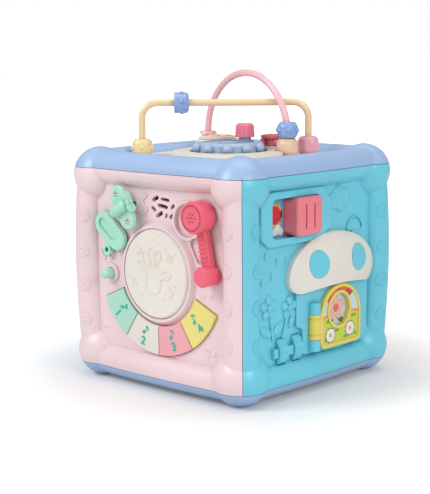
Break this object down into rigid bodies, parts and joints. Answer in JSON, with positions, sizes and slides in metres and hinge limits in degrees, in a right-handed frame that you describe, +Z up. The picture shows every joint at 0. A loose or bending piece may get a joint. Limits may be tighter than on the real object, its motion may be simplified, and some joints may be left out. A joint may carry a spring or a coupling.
{
  "type": "baby activity cube",
  "caption": "Rounded play cube on ball feet with a drum and key face, a mushroom house face with a door and slider, and a top deck of gears and bead wires.",
  "frame": {"origin": "on the floor under the middle of the cube", "axes": "+Z up; the drum face looks along -Y, the mushroom house face along +X"},
  "size_m": [0.1561, 0.1587, 0.197],
  "materials": {
    "pink_case": "soft gloss",
    "blue_case": "soft gloss",
    "frame_blue": "soft gloss",
    "cream": "soft gloss",
    "key_green": "soft gloss",
    "key_cream": "soft gloss",
    "key_pink": "soft gloss",
    "key_yellow": "soft gloss",
    "mint": "soft gloss",
    "coral": "soft gloss",
    "slider_pink": "soft gloss",
    "door_yellow": "soft gloss",
    "wire_yellow": "soft gloss",
    "wire_pink": "soft gloss",
    "gear_blue": "soft gloss",
    "spinner_pink": "soft gloss",
    "dial_orange": "soft gloss",
    "bead_yellow": "soft gloss",
    "bead_pink": "soft gloss",
    "bead_tan": "soft gloss",
    "bead_blue": "soft gloss",
    "card": "satin",
    "board_green": "satin",
    "rubber_grey": "satin",
    "cell": "satin",
    "steel": "satin",
    "speaker_black": "satin"
  },
  "bodies": {
    "cube": {"front_panel": "pink_case", "right_panel": "blue_case", "back_panel": "pink_case", "left_panel": "blue_case", "top_frame": "frame_blue", "bottom_frame": "frame_blue", "deck": "cream", "mushroom_cap": "cream", "cap_spot_left": "blue_case", "cap_spot_right": "blue_case", "picture_card": "card", "door_picture": "card", "hinge_pin": "steel", "wheel_axle": "steel", "battery_door": "frame_blue", "battery_box": "frame_blue", "batteries": "cell", "battery_contacts": "steel", "circuit_board": "board_green", "switch_mat": "rubber_grey", "speaker": "speaker_black", "case_screws": "steel", "yellow_wire": "wire_yellow", "pink_wire": "wire_pink", "wire_flange": "wire_pink"},
    "drum": {"drum_head": "cream"},
    "key_1_body": {"key_1": "key_green"},
    "key_2_body": {"key_2": "key_cream"},
    "key_3_body": {"key_3": "key_pink"},
    "key_4_body": {"key_4": "key_yellow"},
    "airplane": {"airplane": "mint"},
    "propeller": {"propeller": "mint"},
    "paddle": {"paddle": "mint"},
    "peg": {"peg_button": "mint"},
    "handset": {"handset": "coral"},
    "slider": {"window_slider": "slider_pink"},
    "door": {"door": "door_yellow"},
    "wheel_a": {"click_wheel_1": "blue_case"},
    "wheel_b": {"click_wheel_2": "blue_case"},
    "gear": {"gear": "gear_blue"},
    "crank": {"crank_knob": "coral"},
    "dial": {"dial": "dial_orange"},
    "spinner": {"spinner": "spinner_pink"},
    "bead_a": {"bead_yellow": "bead_yellow"},
    "bead_b": {"bead_pink": "bead_pink"},
    "bead_c": {"bead_tan": "bead_tan"},
    "bead_d": {"bead_blue": "bead_blue"},
    "bead_e": {"bead_runner": "bead_blue"}
  },
  "joints": [
    {"name": "drum_press", "type": "slide", "parent": "cube", "child": "drum", "axis": [0, 1, 0], "range_m": [0, 0.002], "stiffness_N_per_m": 500},
    {"name": "key_1_press", "type": "slide", "parent": "cube", "child": "key_1_body", "axis": [0, 1, 0], "range_m": [0, 0.0016], "stiffness_N_per_m": 250},
    {"name": "key_2_press", "type": "slide", "parent": "cube", "child": "key_2_body", "axis": [0, 1, 0], "range_m": [0, 0.0016], "stiffness_N_per_m": 250},
    {"name": "key_3_press", "type": "slide", "parent": "cube", "child": "key_3_body", "axis": [0, 1, 0], "range_m": [0, 0.0016], "stiffness_N_per_m": 250},
    {"name": "key_4_press", "type": "slide", "parent": "cube", "child": "key_4_body", "axis": [0, 1, 0], "range_m": [0, 0.0016], "stiffness_N_per_m": 250},
    {"name": "airplane_slide", "type": "slide", "parent": "cube", "child": "airplane", "axis": [0.8572, 0, 0.515], "range_m": [-0.012, 0.0032]},
    {"name": "propeller_spin", "type": "hinge", "parent": "airplane", "child": "propeller", "pos_m": [-0.01696, -0.0776, 0.11879], "axis": [0.8572, 0, 0.515], "continuous": true},
    {"name": "paddle_swivel", "type": "hinge", "parent": "cube", "child": "paddle", "pos_m": [-0.0389, -0.0684, 0.0984], "axis": [0, -1, 0], "range_deg": [-15, 20]},
    {"name": "peg_press", "type": "slide", "parent": "cube", "child": "peg", "axis": [0, 1, 0], "range_m": [0, 0.004], "stiffness_N_per_m": 120},
    {"name": "handset_swing", "type": "hinge", "parent": "cube", "child": "handset", "pos_m": [0.0465, -0.0684, 0.0795], "axis": [0, -1, 0], "range_deg": [0, 24]},
    {"name": "window_slide", "type": "slide", "parent": "cube", "child": "slider", "axis": [0, -1, 0], "range_m": [-0.0022, 0.0175]},
    {"name": "door_hinge", "type": "hinge", "parent": "cube", "child": "door", "pos_m": [0.0716, -0.0048, 0.04], "axis": [0, 0, -1], "range_deg": [0, 110]},
    {"name": "wheel_a_spin", "type": "hinge", "parent": "cube", "child": "wheel_a", "pos_m": [0.0634, -0.0343, 0.03], "axis": [0, 1, 0], "continuous": true},
    {"name": "wheel_b_spin", "type": "hinge", "parent": "cube", "child": "wheel_b", "pos_m": [0.0634, -0.02, 0.03], "axis": [0, 1, 0], "continuous": true},
    {"name": "gear_spin", "type": "hinge", "parent": "cube", "child": "gear", "pos_m": [-0.0018, -0.0016, 0.148], "axis": [0, 0, 1], "continuous": true},
    {"name": "crank_spin", "type": "hinge", "parent": "gear", "child": "crank", "pos_m": [0.00072, 0.01136, 0.156], "axis": [0, 0, 1], "continuous": true},
    {"name": "dial_spin", "type": "hinge", "parent": "cube", "child": "dial", "pos_m": [-0.0336, 0.022, 0.152], "axis": [0, 0, 1], "continuous": true},
    {"name": "spinner_spin", "type": "hinge", "parent": "cube", "child": "spinner", "pos_m": [0.0089, 0.034, 0.15], "axis": [0, 0, 1], "continuous": true},
    {"name": "bead_yellow_slide", "type": "slide", "parent": "cube", "child": "bead_a", "axis": [0, 0, 1], "range_m": [0, 0.0125]},
    {"name": "bead_pink_slide", "type": "slide", "parent": "cube", "child": "bead_b", "axis": [0, 0, 1], "range_m": [0, 0.0115]},
    {"name": "bead_tan_spin", "type": "hinge", "parent": "cube", "child": "bead_c", "pos_m": [0.0292, 0.0202, 0.148], "axis": [0, 0, 1], "continuous": true},
    {"name": "bead_blue_spin", "type": "hinge", "parent": "cube", "child": "bead_d", "pos_m": [0.0292, 0.0202, 0.16], "axis": [0, 0, 1], "continuous": true},
    {"name": "bead_runner_slide", "type": "slide", "parent": "cube", "child": "bead_e", "axis": [0.7333, 0.68, 0], "range_m": [-0.0111, 0.0535]}
  ]
}
